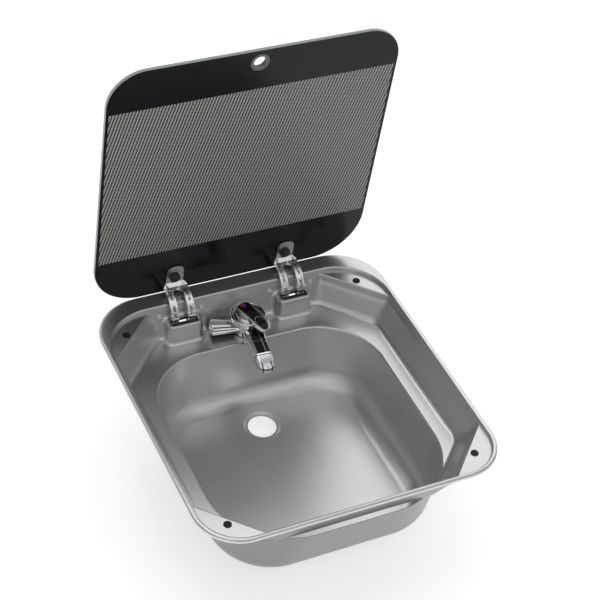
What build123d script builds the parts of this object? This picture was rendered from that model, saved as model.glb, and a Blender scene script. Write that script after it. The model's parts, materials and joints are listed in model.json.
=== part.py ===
"""Drop-in sink with a hinged glass lid and a low mixer tap.

Millimetres, +Z up, +Y toward the hinges. The origin is the centre of the seat plane, where the
rim rests on the worktop. Heights inside the sink are given as depths below the top of the rim.
"""

import math
import os

from build123d import *

os.makedirs("parts", exist_ok=True)

# --- rim ---------------------------------------------------------------------------------------
RIM_WIDTH = 420.0
RIM_DEPTH = 440.0
RIM_HEIGHT = 4.7
RIM_CORNER_FRONT = 60.0
RIM_CORNER_BACK = 70.0
EDGE_ROUND = 3.0
SHEET = 0.8

# --- recess, measured at the top of the rim ----------------------------------------------------
FLANGE_SIDE = 7.3
FLANGE_FRONT = 6.3
FLANGE_BACK = 26.8
RECESS_SIDE = RIM_WIDTH / 2 - FLANGE_SIDE
RECESS_FRONT = FLANGE_FRONT - RIM_DEPTH / 2
RECESS_BACK = RIM_DEPTH / 2 - FLANGE_BACK
RECESS_CORNER_FRONT = 54.0
RECESS_CORNER_BACK = 70.0
STEP_TOP = 15.0
STEP_FOOT = 20.5
STEP_TOP_INSET = 1.7
STEP_FOOT_INSET = 4.2
LEDGE_DEPTH = 48.0
LEDGE_INSET = 15.6
BACK_INSET = 15.2
FOOT_ROUND = 9.0
SLOPE_GROWTH = 1.06

# --- corner shelves, as cuts along the 45 degree line from the recess's square corner ------------
SHELF_DEPTH = 6.0
SHELF_BACK = (53.444, 55.944, 58.444, 68.444)
SHELF_FRONT = (51.939, 54.039, 58.939, 74.939)
WALL_CORNERS = (9.0, 12.0, 15.0, 26.0)
SHELF_EDGE_ROUND = 2.0

# --- bowl --------------------------------------------------------------------------------------
LEDGE_WIDTH = 39.7
LEDGE_WIDTH_FRONT = 7.7
LEDGE_WIDTH_BACK = 58.2
BOWL_SIDE = RECESS_SIDE - LEDGE_WIDTH
BOWL_FRONT = RECESS_FRONT + LEDGE_WIDTH_FRONT
BOWL_BACK = RECESS_BACK - LEDGE_WIDTH_BACK
BOWL_CORNER_FRONT = 108.0
BOWL_CORNER_BACK = 90.0
BOWL_SIDE_DRAFT = 6.0
BOWL_FRONT_DRAFT = 16.0
BOWL_BACK_DRAFT = 8.5
BOWL_FLOOR_CORNER_FRONT = 75.0
BOWL_FLOOR_CORNER_BACK = 70.0
BOWL_FLOOR = 140.0
BOWL_FOOT_ROUND = 30.0
BOWL_EDGE_ROUND = 3.0
BOWL_LAP = 2.0
DRAIN_X = -4.0
DRAIN_Y = BOWL_BACK - 73.5
DRAIN_RADIUS = 20.0
DISH_RADIUS = 26.0
DISH_FOOT_RADIUS = 23.0
DISH_DEPTH = 3.2

# --- bumpers -----------------------------------------------------------------------------------
BUMPER_X = RECESS_SIDE - 30.7
BUMPER_Y = (RECESS_FRONT + 30.2, RECESS_BACK - 32.7)
BUMPER_RADIUS = 5.3
BUMPER_ROUND = 0.4
BUMPER_AIR = 0.1

# --- rim seal ----------------------------------------------------------------------------------
SEAL_GAP = 0.2
SEAL_WIDTH = 2.1
SEAL_ROUND = 2.0

# --- lid ---------------------------------------------------------------------------------------
LID_AIR = 3.7
LID_AIR_FRONT = 2.1
LID_AIR_BACK = 4.8
GLASS_WIDTH = 2 * (RECESS_SIDE - LID_AIR)
GLASS_BACK = RECESS_BACK - LID_AIR_BACK
GLASS_FRONT = RECESS_FRONT + LID_AIR_FRONT
GLASS_THICKNESS = 5.0
GLASS_CORNER_HINGE = 70.0
GLASS_CORNER_FINGER = 51.0
GLASS_CHAMFER = 0.6
FINGER_HOLE_INSET = 18.5
FINGER_HOLE_RADIUS = 10.0
FINGER_FIT = 0.1
FINGER_BORE_RADIUS = 8.8
FINGER_FLANGE_RADIUS = 12.8
FINGER_FLANGE = 0.8

# --- lid pivot: the lid is drawn open, OPEN_ANGLE up from lying flat -----------------------------
PIVOT_Y = RECESS_BACK + 13.3
PIVOT_DEPTH = 19.74
OPEN_ANGLE = 85.8

# --- hinge straps: angles are seen from +X, in the lid's flat pose ------------------------------
HINGE_X = 82.5
ARM_OUTER = 17.0
ARM_INNER = 7.0
ARM_RADIUS = 31.0
ARM_THICKNESS = 2.8
ARM_START = 182.0
ARM_END = 281.0
RIDGE_RADIUS = 33.0
RIDGE_ANGLE = 168.8
RIDGE_FOOT_ANGLE = 173.8
ARCH_ANGLE = 187.0
RIB_PITCH = 3.4
RIB_WIDTH = 1.8
RIB_HEIGHT = 0.5
RIB_START = 172.5
RIB_END = 262.0
TAB_WIDTH = 25.0
TAB_BACK = RECESS_BACK - 15.0
TAB_FRONT = RECESS_BACK - 52.2
TAB_THICKNESS = 2.2
TAB_END_ROUND = 10.0
SHOULDER_BACK = RECESS_BACK - 19.7
SHOULDER_FRONT = RECESS_BACK - 24.0
PAD_THICKNESS = 0.5
PAD_INSET = 1.0
SPOKE_THICKNESS = 4.0
HUB_RADIUS = 5.0
PIN_RADIUS = 3.0
PIN_FIT = 0.05
PIN_HEAD_RADIUS = 4.6
PIN_HEAD = 1.4
BOLT_Y = RECESS_BACK - 31.8
BOLT_RADIUS = 4.0
BOLT_FIT = 0.3
BOLT_IN_CAP = 1.8
COVER_RADIUS = 11.0
COVER_HEIGHT = 2.0
CAP_RADIUS = 7.5
CAP_HEIGHT = 3.2
CAP_ROUND = 1.0

# --- hinge bosses and their slotted inserts -----------------------------------------------------
BOSS_HALF_WIDTH = 23.8
BOSS_FOOT_SPREAD = 1.6
BOSS_FRONT = RECESS_BACK - 28.2
BOSS_FOOT_FRONT = BOSS_FRONT - 3.0
BOSS_TOP = 18.8
BOSS_CORNER_ROUND = 8.0
BOSS_ROUND = 3.6
BOSS_FOOT_ROUND = 7.0
BOSS_RUN = RECESS_BACK + 21.8
INSERT_HALF_WIDTH = 19.2
INSERT_FRONT = BOSS_FRONT + 3.8
INSERT_BACK = INSERT_FRONT + 12.0
INSERT_LIP = 0.9
INSERT_NECK = 1.0
INSERT_DROP = 2.0
INSERT_CORNER = 3.0
INSERT_FIT = 0.1
SLOT_FRONT = INSERT_FRONT + 4.6
SLOT_BACK = SLOT_FRONT + 5.6
SLOT_SIDE_GAP = 0.5

# --- hinge brackets, screws and nuts -----------------------------------------------------------
SCREW_OFFSET = 31.0
SCREW_DEPTH = 15.0
SCREW_RADIUS = 2.0
SCREW_FIT = 0.2
SCREW_LENGTH = 8.0
SCREW_HEAD_RADIUS = 3.4
SCREW_HEAD = 1.6
SCREW_HEAD_ROUND = 0.9
SCREW_SOCKET = 1.3
SCREW_SOCKET_DEPTH = 1.0
NUT_FLATS = 7.0
NUT_HEIGHT = 3.2
BRACKET_PLATE = 1.5
BRACKET_HALF_WIDTH = 37.0
BRACKET_HALF_HEIGHT = 4.4
BRACKET_CORNER = 2.0
CHEEK_OFFSET = 18.6
CHEEK_THICKNESS = 2.0
CHEEK_RADIUS = 6.0
WASHER_RADIUS = 5.5
WASHER_GAP = 0.1

# --- tap ---------------------------------------------------------------------------------------
TAP_X = 4.0
TAP_Y = RECESS_BACK - 37.2
TAP_HOLE_RADIUS = 10.6
GASKET_RADIUS = 14.8
GASKET_HEIGHT = 1.0
FOOT_RADIUS = 15.4
FOOT_HEIGHT = 2.5
BARREL_RADIUS = 14.8
NECK_RADIUS = 12.5
GROOVE_RADIUS = 11.6
GROOVE_DEPTHS = (26.0, 30.5)
GROOVE_HEIGHT = 1.6
HEAD_RADIUS = 14.0
HEAD_FLANGE_RADIUS = 22.5
HEAD_FLANGE = 0.7
HEAD_FOOT = 22.7
HEAD_TOP = 18.5
HEAD_LAP = 2.5
RING_TOP = 14.0
RING_OUTER = 24.5
RING_INNER = 20.4
RING_ROUND = 1.9
SPOUT_TOP = 23.0
SPOUT_RING_FOOT = 33.0
SPOUT_RING_RADIUS = 16.6
SPOUT_FIT = 0.1
SPOUT_AIR = 0.3
SPOUT_HEADING = -93.6
SPOUT_REACH = 76.5
SPOUT_HALF_WIDTHS = ((8.0, 11.0), (14.0, 12.8), (24.0, 15.2), (42.0, 13.6), (76.5, 12.9))
SPOUT_TOP_ROUND = 5.0
SPOUT_CROWN = ((8.0, 23.0), (37.0, 24.4), (61.0, 27.8), (76.5, 32.4), (86.0, 37.0), (92.0, 43.0))
SPOUT_BELOW = ((64.2, 43.0), (61.0, 38.6), (38.0, 37.0), (22.0, 36.0), (18.0, 33.0), (8.0, 33.0))
OUTLET_RADIUS = 12.9
OUTLET_DEPTH = 43.0
OUTLET_BORE = 8.7
OUTLET_BORE_HEIGHT = 7.0
AERATOR_FIT = 0.1
AERATOR_HOLE = 1.0
AERATOR_RINGS = ((3.0, 6), (6.0, 12))
CARTRIDGE_RADIUS = 9.8
CARTRIDGE_FIT = 0.1
CARTRIDGE_TOP = 18.0
CARTRIDGE_FOOT = 40.0
CARTRIDGE_CUP = 8.6
CARTRIDGE_CUP_FOOT = 28.55
LEVER_HEADING = -70.5
LEVER_WIDTH = 22.0
LEVER_BACK = -16.0
LEVER_TIP = 39.0
LEVER_PIVOT = 24.0
LEVER_CROWN = (
    (-16.0, 7.6), (-10.0, 6.9), (0.0, 7.3), (14.0, 8.6), (25.0, 10.6), (33.0, 13.2), (39.0, 16.6)
)
LEVER_BELOW = ((37.5, 18.0), (26.5, 14.2), (21.0, 13.4), (-14.0, 13.4), (-16.0, 12.0))
LEVER_CORNER = 8.0
LEVER_EDGE_ROUND = 1.2
BALL_RADIUS = 19.8
BALL_TOP = 12.6
BALL_CROWN = 11.4
BALL_FOOT = 17.5
BALL_SHELL = 1.8
BALL_DROOP = 0.25
STEM_RADIUS = 3.5
STEM_BALL = 4.5
PAD_CENTRE = 27.5
PAD_TOP = 10.4
PAD_RISE = 3.0
PAD_LENGTH = 8.5
PAD_HALF_WIDTH = 6.2
MARK_OFFSET = -11.0
MARK_RADIUS = 4.2
MARK_DEPTH = 6.8
MARK_SINK = 1.4
MARK_FIT = 0.05
SHANK_RADIUS = 10.0
SHANK_BORE = 7.0
SHANK_END = 92.0
SHANK_NUT_FLATS = 28.0
SHANK_NUT_HEIGHT = 8.0
SHANK_WASHER_RADIUS = 16.0
SHANK_WASHER_HEIGHT = 2.0
SHANK_FIT = 0.2
TAIL_RADIUS = 3.0
TAIL_SPREAD = 3.4
TAIL_BORE = 2.2
TAIL_END = 118.0
HORN_ROOT = 8.0
HORN_ROOT_RADIUS = 8.0
HORN_ROOT_DEPTH = 37.6
HORN_REACH = 50.0
HORN_END_RADIUS = 12.2
HORN_END_DEPTH = 34.5
HORN_AIR = 0.6
HORN_HEADING = 170.0
HORN_SIDES = 12
HORN_CAP_RADIUS = 10.4
HORN_CAP_HEIGHT = 1.4

ROOT2 = math.sqrt(2)
SIDES = {"left": -1, "right": 1}
DIAGONAL_FRONT = (RECESS_SIDE - RECESS_FRONT) / ROOT2
DIAGONAL_BACK = (RECESS_SIDE + RECESS_BACK) / ROOT2


def level(depth):
    """Height of a depth below the top of the rim."""
    return RIM_HEIGHT - depth


def at(depth):
    """Horizontal plane at a depth below the top of the rim."""
    return Plane.XY.offset(level(depth))


def back_wall(depth):
    """Y of the drafted back wall at a depth."""
    return RECESS_BACK - BACK_INSET * depth / LEDGE_DEPTH


def step_inset(depth):
    """Inset of the side and front walls above the step."""
    return STEP_TOP_INSET * depth / STEP_TOP


def rounded_outline(side, front, back, front_radius, back_radius):
    """Rectangle with its own front and back corner radii."""
    with BuildSketch() as outline:
        with Locations((0, (front + back) / 2)):
            Rectangle(2 * side, back - front)
        fillet(outline.vertices().group_by(Axis.Y)[0], front_radius)
        fillet(outline.vertices().group_by(Axis.Y)[-1], back_radius)
    return outline.sketch


def eight_sided(side, front, back, front_shelf, back_shelf, corner):
    """Outline of the recess below the corner shelves, with rounded corners."""
    behind = [(side, ROOT2 * back_shelf - side), (ROOT2 * back_shelf - back, back)]
    ahead = [(ROOT2 * front_shelf + front, front), (side, side - ROOT2 * front_shelf)]
    left = [(-x, y) for x, y in reversed(behind)] + [(-x, y) for x, y in reversed(ahead)]
    with BuildSketch() as outline:
        Polygon(*behind, *left, *ahead, align=None)
        fillet(outline.vertices(), corner)
    return outline.sketch


def boss_solid(x, grow):
    """Solid of one hinge boss, shrunk by grow for the underside of the sheet."""
    run = LEDGE_DEPTH + FOOT_ROUND
    spread = (run - BOSS_TOP) / (LEDGE_DEPTH - BOSS_TOP)
    foot_half = BOSS_HALF_WIDTH + BOSS_FOOT_SPREAD * spread
    foot_front = BOSS_FRONT + (BOSS_FOOT_FRONT - BOSS_FRONT) * spread
    with BuildPart() as boss:
        sections = ((BOSS_TOP + grow, BOSS_HALF_WIDTH, BOSS_FRONT), (run, foot_half, foot_front))
        for depth, half, front in sections:
            with BuildSketch(at(depth)):
                with Locations((x, (front + grow + BOSS_RUN) / 2)):
                    Rectangle(2 * (half - grow), BOSS_RUN - front - grow)
        loft(ruled=True)
        uprights = boss.edges().filter_by(lambda e: abs(e.tangent_at(0.5).Z) > 0.8)
        fillet(uprights.group_by(Axis.Y)[0], BOSS_CORNER_ROUND - grow)
        top = boss.faces().sort_by(Axis.Z)[-1].edges()
        fillet(top.filter_by(lambda e: e.center().Y < BOSS_RUN - 1), BOSS_ROUND - grow)
    return boss.part


def trough(grow):
    """Solid filling recess, ledge space and bowl, pushed outward by grow."""
    sideways = SLOPE_GROWTH * grow
    with BuildPart() as upper:
        for depth in (-SHELF_DEPTH, SHELF_DEPTH + grow):
            inset = step_inset(depth)
            with BuildSketch(at(depth)):
                add(
                    rounded_outline(
                        RECESS_SIDE - inset + sideways,
                        RECESS_FRONT + inset - sideways,
                        back_wall(depth) + sideways,
                        RECESS_CORNER_FRONT - inset + sideways,
                        RECESS_CORNER_BACK - inset + sideways,
                    )
                )
        loft(ruled=True)
    run_out = (LEDGE_INSET - STEP_FOOT_INSET) / (LEDGE_DEPTH - STEP_FOOT) * grow
    shelf_top = SHELF_DEPTH + grow
    depths = (shelf_top, STEP_TOP, STEP_FOOT, LEDGE_DEPTH + grow)
    insets = (step_inset(shelf_top), STEP_TOP_INSET, STEP_FOOT_INSET, LEDGE_INSET + run_out)
    with BuildPart() as body:
        for depth, inset, front_cut, back_cut, corner in zip(
            depths, insets, SHELF_FRONT, SHELF_BACK, WALL_CORNERS
        ):
            with BuildSketch(at(depth)):
                add(
                    eight_sided(
                        RECESS_SIDE - inset + sideways,
                        RECESS_FRONT + inset - sideways,
                        back_wall(depth) + sideways,
                        DIAGONAL_FRONT - front_cut + sideways,
                        DIAGONAL_BACK - back_cut + sideways,
                        corner + grow,
                    )
                )
        loft(ruled=True)
        fillet(body.faces().sort_by(Axis.Z)[0].edges(), FOOT_ROUND + grow)
        add(upper.part)
        shelf = body.edges().filter_by(
            lambda e: abs(e.center().Z - level(shelf_top)) < 0.01
            and abs(e.tangent_at(0.5).Z) < 0.01
        )
        rims = shelf.filter_by(lambda e: e.geom_type == GeomType.LINE and e.length > 60)
        tips = shelf.filter_by(lambda e: e.geom_type != GeomType.LINE and e.length < 10)
        fillet(rims + tips, SHELF_EDGE_ROUND - grow)
    bosses = [boss_solid(side * HINGE_X, grow) for side in SIDES.values()]
    with body:
        for boss in bosses:
            add(boss, mode=Mode.SUBTRACT)
        foot = body.edges().filter_by(lambda e: any(on_seam(e, boss) for boss in bosses))
        fillet(foot, BOSS_FOOT_ROUND + grow)
    bowl = bowl_solid(grow)
    with body:
        add(bowl)
        ledge = level(LEDGE_DEPTH + grow)
        mouth = body.edges().filter_by(
            lambda e: abs(e.center().Z - ledge) < 0.01
            and bowl.distance_to(Vertex(*e.position_at(0.3))) < 0.01
        )
        fillet(mouth, BOWL_EDGE_ROUND - grow)
    return body.part


def on_seam(edge, boss):
    """True for a sharp edge between a boss and the walls or the ledge around it."""
    points = [edge.position_at(t) for t in (0.2, 0.5, 0.8)]
    touching = all(boss.distance_to(Vertex(*p)) < 0.01 for p in points)
    own = any((e.center() - edge.center()).length < 0.05 for e in boss.edges())
    return touching and not own


def widened(grow, draft, below):
    """Sideways growth of a drafted bowl wall at a distance below the ledge."""
    slope = math.radians(draft)
    return grow / math.cos(slope) - below * math.tan(slope)


def bowl_solid(grow):
    """Solid filling the bowl and its drain dish, reaching a little above the ledge."""
    with BuildPart() as bowl:
        for depth, front_corner, back_corner in (
            (LEDGE_DEPTH - BOWL_LAP, BOWL_CORNER_FRONT, BOWL_CORNER_BACK),
            (BOWL_FLOOR + grow, BOWL_FLOOR_CORNER_FRONT, BOWL_FLOOR_CORNER_BACK),
        ):
            below = depth - LEDGE_DEPTH
            with BuildSketch(at(depth)):
                add(
                    rounded_outline(
                        BOWL_SIDE + widened(grow, BOWL_SIDE_DRAFT, below),
                        BOWL_FRONT - widened(grow, BOWL_FRONT_DRAFT, below),
                        BOWL_BACK + widened(grow, BOWL_BACK_DRAFT, below),
                        front_corner + grow,
                        back_corner + grow,
                    )
                )
        loft(ruled=True)
        fillet(bowl.faces().sort_by(Axis.Z)[0].edges(), BOWL_FOOT_ROUND + grow)
        for depth, radius in (
            (BOWL_FLOOR - SHEET, DISH_RADIUS),
            (BOWL_FLOOR, DISH_RADIUS),
            (BOWL_FLOOR + DISH_DEPTH + grow, DISH_FOOT_RADIUS),
        ):
            with BuildSketch(at(depth)):
                with Locations((DRAIN_X, DRAIN_Y)):
                    Circle(radius + grow)
        loft(ruled=True)
    return bowl.part


# --- sink pressing -----------------------------------------------------------------------------
rim_outline = rounded_outline(
    RIM_WIDTH / 2, -RIM_DEPTH / 2, RIM_DEPTH / 2, RIM_CORNER_FRONT, RIM_CORNER_BACK
)

with BuildPart() as rim_hollow:
    with BuildSketch():
        add(rim_outline)
        offset(amount=-SHEET)
    extrude(amount=RIM_HEIGHT - SHEET)
    fillet(rim_hollow.faces().sort_by(Axis.Z)[-1].edges(), EDGE_ROUND - SHEET)

with BuildPart() as under_trough:
    add(trough(SHEET))
    split(bisect_by=at(SHEET / 2), keep=Keep.BOTTOM)

with BuildPart() as cavity:
    add(trough(0.0))
    split(bisect_by=at(0), keep=Keep.BOTTOM)
    with BuildSketch(at(0)):
        Rectangle(RIM_WIDTH + 10, RIM_DEPTH + 10)
    extrude(amount=10)
    fold = cavity.edges().filter_by(
        lambda e: abs(e.center().Z - level(0)) < 0.01 and abs(e.center().X) < RECESS_SIDE + 1
    )
    fillet(fold.filter_by(lambda e: abs(e.center().Y) < RIM_DEPTH / 2), EDGE_ROUND)

with BuildPart() as sink_pressing:
    with BuildSketch():
        add(rim_outline)
    extrude(amount=RIM_HEIGHT)
    fillet(sink_pressing.faces().sort_by(Axis.Z)[-1].edges(), EDGE_ROUND)
    add(rim_hollow.part, mode=Mode.SUBTRACT)
    add(under_trough.part)
    ceiling = sink_pressing.edges().filter_by(
        lambda e: abs(e.center().Z - level(SHEET)) < 0.01 and abs(e.tangent_at(0.5).Z) < 0.01
    )
    bend = ceiling.filter_by(
        lambda e: under_trough.part.distance_to(Vertex(*e.position_at(0.3))) < 0.01
    )
    fillet(bend, EDGE_ROUND - SHEET)
    add(cavity.part, mode=Mode.SUBTRACT)
    with BuildSketch(at(BOWL_FLOOR - SHEET)):
        with Locations((DRAIN_X, DRAIN_Y)):
            Circle(DRAIN_RADIUS)
    extrude(amount=-2 * DISH_DEPTH - 2 * SHEET, mode=Mode.SUBTRACT)
    with BuildSketch(at(LEDGE_DEPTH - SHEET)):
        with Locations((TAP_X, TAP_Y)):
            Circle(TAP_HOLE_RADIUS)
    extrude(amount=-4 * SHEET, mode=Mode.SUBTRACT)
    for side in SIDES.values():
        with BuildSketch(at(BOSS_TOP - SHEET)):
            with Locations((side * HINGE_X, (INSERT_FRONT + INSERT_BACK) / 2)):
                RectangleRounded(
                    2 * (INSERT_HALF_WIDTH - INSERT_NECK + INSERT_FIT),
                    INSERT_BACK - INSERT_FRONT - 2 * (INSERT_NECK - INSERT_FIT),
                    INSERT_CORNER - INSERT_NECK,
                )
        extrude(amount=-3 * SHEET, mode=Mode.SUBTRACT)

# Plane on the visible face of the back wall at the screws: local z leads out through the wall.
wall_slope = math.atan2(BACK_INSET, LEDGE_DEPTH)
wall_out = (0, math.cos(wall_slope), -math.sin(wall_slope))
wall_gauge = SLOPE_GROWTH * SHEET * math.cos(wall_slope)


def wall_plane(x, lift=0.0):
    """Plane parallel to the back wall, lifted off its visible face toward the outside."""
    origin = (x, back_wall(SCREW_DEPTH), level(SCREW_DEPTH))
    return Plane(origin=origin, x_dir=(1, 0, 0), z_dir=wall_out).offset(lift)


screw_places = [
    side * (HINGE_X + shift) for side in SIDES.values() for shift in (-SCREW_OFFSET, SCREW_OFFSET)
]

with sink_pressing:
    for x in screw_places:
        with BuildSketch(wall_plane(x, -SHEET)):
            Circle(SCREW_RADIUS + SCREW_FIT)
        extrude(amount=3 * SHEET, mode=Mode.SUBTRACT)

# --- bumpers and rim seal ----------------------------------------------------------------------
with BuildPart() as lid_bumpers:
    with BuildSketch(at(SHELF_DEPTH)):
        for y in BUMPER_Y:
            with Locations((-BUMPER_X, y), (BUMPER_X, y)):
                Circle(BUMPER_RADIUS)
    extrude(amount=SHELF_DEPTH - GLASS_THICKNESS - BUMPER_AIR)
    tops = lid_bumpers.edges().filter_by(lambda e: e.center().Z > level(SHELF_DEPTH) + 0.1)
    fillet(tops.filter_by(GeomType.CIRCLE), BUMPER_ROUND)

with BuildPart() as rim_seal:
    with BuildSketch():
        add(rim_outline)
        offset(amount=-(SHEET + SEAL_GAP))
    extrude(amount=RIM_HEIGHT - SHEET)
    fillet(rim_seal.faces().sort_by(Axis.Z)[-1].edges(), SEAL_ROUND)
    with BuildSketch():
        add(rim_outline)
        offset(amount=-(SHEET + SEAL_GAP + SEAL_WIDTH))
    extrude(amount=RIM_HEIGHT, mode=Mode.SUBTRACT)

# --- lid ---------------------------------------------------------------------------------------
# The lid frame has its origin on the pivot axis; its axes are those of the lid lying flat.
tilt = math.radians(OPEN_ANGLE)
lid_up = (0, math.sin(tilt), math.cos(tilt))
lid_back = (0, math.cos(tilt), -math.sin(tilt))


def lid_flat(x, depth):
    """Plane of the lid frame that lies at a depth when the lid is flat, with its origin at x."""
    origin = (x, PIVOT_Y, level(PIVOT_DEPTH))
    return Plane(origin=origin, x_dir=(1, 0, 0), z_dir=lid_up).offset(PIVOT_DEPTH - depth)


def lid_side(x):
    """Plane across the lid: local x leads back and local y up when the lid is flat."""
    origin = (x, PIVOT_Y, level(PIVOT_DEPTH))
    return Plane(origin=origin, x_dir=lid_back, z_dir=(1, 0, 0))


def on_circle(radius, angle):
    """Point on a circle round the pivot, in the side plane."""
    return (radius * math.cos(math.radians(angle)), radius * math.sin(math.radians(angle)))


def flat(y, depth):
    """Point of the side plane from its place with the lid flat."""
    return (y - PIVOT_Y, PIVOT_DEPTH - depth)


finger_y = GLASS_FRONT + FINGER_HOLE_INSET - PIVOT_Y
bolt_y = BOLT_Y - PIVOT_Y

with BuildPart() as lid_glass:
    with BuildSketch(lid_flat(0, 0)):
        add(
            rounded_outline(
                GLASS_WIDTH / 2,
                GLASS_FRONT - PIVOT_Y,
                GLASS_BACK - PIVOT_Y,
                GLASS_CORNER_FINGER,
                GLASS_CORNER_HINGE,
            )
        )
    extrude(amount=-GLASS_THICKNESS)
    faces = lid_glass.faces().sort_by(Axis.Y)
    chamfer(faces[0].edges() + faces[-1].edges(), GLASS_CHAMFER)
    with BuildSketch(lid_flat(0, 0)):
        with Locations((0, finger_y)):
            Circle(FINGER_HOLE_RADIUS)
        with Locations((-HINGE_X, bolt_y), (HINGE_X, bolt_y)):
            Circle(BOLT_RADIUS + BOLT_FIT)
    extrude(amount=-GLASS_THICKNESS, mode=Mode.SUBTRACT)

with BuildPart() as finger_ring:
    with BuildSketch(lid_flat(0, -FINGER_FLANGE)):
        with Locations((0, finger_y)):
            Circle(FINGER_FLANGE_RADIUS)
    extrude(amount=-FINGER_FLANGE)
    with BuildSketch(lid_flat(0, GLASS_THICKNESS)):
        with Locations((0, finger_y)):
            Circle(FINGER_FLANGE_RADIUS)
    extrude(amount=-FINGER_FLANGE)
    fillet(finger_ring.edges().filter_by(GeomType.CIRCLE), FINGER_FLANGE * 0.45)
    with BuildSketch(lid_flat(0, -FINGER_FLANGE / 2)):
        with Locations((0, finger_y)):
            Circle(FINGER_HOLE_RADIUS - FINGER_FIT)
    extrude(amount=-GLASS_THICKNESS - FINGER_FLANGE)
    with BuildSketch(lid_flat(0, -FINGER_FLANGE)):
        with Locations((0, finger_y)):
            Circle(FINGER_BORE_RADIUS)
    extrude(amount=-GLASS_THICKNESS - 2 * FINGER_FLANGE, mode=Mode.SUBTRACT)


# --- hinge straps ------------------------------------------------------------------------------
def sector(inner, outer, start, end):
    """Slice of a ring round the pivot, in the side plane."""
    with BuildSketch() as slice_sketch:
        Circle(outer)
        Circle(inner, mode=Mode.SUBTRACT)
        middle = (start + end) / 2
        reach = 2 * outer
        Polygon(
            (0, 0), on_circle(reach, start), on_circle(2 * reach, middle), on_circle(reach, end),
            align=None, mode=Mode.INTERSECT,
        )
    return slice_sketch.sketch


arm_bore = ARM_RADIUS - ARM_THICKNESS
tab_top = GLASS_THICKNESS + PAD_THICKNESS
tab_foot = tab_top + TAB_THICKNESS


def strap_plan():
    """Outline of the tab and its shoulders seen from above, drawn in the lid frame."""
    half = TAB_WIDTH / 2
    front = TAB_FRONT - PIVOT_Y
    with BuildSketch() as plan:
        Polygon(
            (-half, front), (half, front), (half, SHOULDER_FRONT - PIVOT_Y),
            (ARM_OUTER, SHOULDER_BACK - PIVOT_Y), (ARM_OUTER, HUB_RADIUS + 1),
            (-ARM_OUTER, HUB_RADIUS + 1), (-ARM_OUTER, SHOULDER_BACK - PIVOT_Y),
            (-half, SHOULDER_FRONT - PIVOT_Y),
            align=None,
        )
        fillet(plan.vertices().group_by(Axis.Y)[0], TAB_END_ROUND)
    return plan.sketch


def make_strap(x):
    """One forked hinge strap: tab, ridge, two ribbed arms, spokes and hubs."""
    with BuildPart() as strap:
        with BuildSketch(lid_side(x)):
            add(sector(arm_bore, ARM_RADIUS, RIDGE_FOOT_ANGLE, ARM_END))
            Polygon(
                flat(TAB_FRONT, tab_foot), flat(SHOULDER_FRONT, tab_foot),
                on_circle(RIDGE_RADIUS, RIDGE_ANGLE), on_circle(ARM_RADIUS, ARM_START),
                on_circle(arm_bore, ARM_START), on_circle(arm_bore, RIDGE_FOOT_ANGLE),
                flat(TAB_BACK, tab_foot), flat(TAB_BACK, tab_top), flat(TAB_FRONT, tab_top),
                align=None,
            )
        extrude(amount=ARM_OUTER, both=True)
        with BuildSketch(lid_flat(x, PIVOT_DEPTH)):
            add(strap_plan())
        extrude(amount=2 * ARM_RADIUS, both=True, mode=Mode.INTERSECT)
        with BuildSketch(lid_side(x)):
            angles = (ARCH_ANGLE, ARM_END - 40, ARM_END)
            Polygon((0, 0), *[on_circle(2 * ARM_RADIUS, a) for a in angles], (HUB_RADIUS, 0), align=None)
        extrude(amount=ARM_INNER, both=True, mode=Mode.SUBTRACT)
        arch = lid_side(x)
        direction = on_circle(1.0, ARCH_ANGLE)
        radial = arch.x_dir * direction[0] + arch.y_dir * direction[1]
        with BuildSketch(Plane(origin=arch.origin, x_dir=(1, 0, 0), z_dir=radial)):
            Circle(ARM_INNER)
        extrude(amount=2 * ARM_RADIUS, mode=Mode.SUBTRACT)
        for hand in (-1, 1):
            middle = x + hand * (ARM_OUTER + ARM_INNER) / 2
            with BuildSketch(lid_side(middle)):
                Circle(HUB_RADIUS)
                with Locations(Location((0, 0, 0), (0, 0, ARM_END - 2.5))):
                    Rectangle(ARM_RADIUS - 1, SPOKE_THICKNESS, align=(Align.MIN, Align.CENTER))
            extrude(amount=(ARM_OUTER - ARM_INNER) / 2, both=True)
            for place in (-1, 0, 1):
                with BuildSketch(lid_side(middle + place * RIB_PITCH)):
                    add(sector(ARM_RADIUS - 1, ARM_RADIUS + RIB_HEIGHT, RIB_START, RIB_END))
                extrude(amount=RIB_WIDTH / 2, both=True)
        with BuildSketch(lid_side(x)):
            Circle(PIN_RADIUS + PIN_FIT)
        extrude(amount=2 * ARM_OUTER, both=True, mode=Mode.SUBTRACT)
        with BuildSketch(lid_flat(x, PIVOT_DEPTH)):
            with Locations((0, bolt_y)):
                Circle(BOLT_RADIUS + BOLT_FIT)
        extrude(amount=2 * ARM_RADIUS, mode=Mode.SUBTRACT)
    return strap.part


def make_pad(x):
    """Soft pad between a strap's tab and the glass."""
    with BuildPart() as pad:
        with BuildSketch(lid_flat(x, GLASS_THICKNESS)) as outline:
            with Locations((0, (TAB_FRONT + SHOULDER_BACK) / 2 - PIVOT_Y)):
                Rectangle(TAB_WIDTH - 2 * PAD_INSET, SHOULDER_BACK - TAB_FRONT - 2 * PAD_INSET)
            fillet(outline.vertices().group_by(Axis.Y)[0], TAB_END_ROUND - PAD_INSET)
            with Locations((0, bolt_y)):
                Circle(BOLT_RADIUS + BOLT_FIT, mode=Mode.SUBTRACT)
        extrude(amount=-PAD_THICKNESS)
    return pad.part


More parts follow.
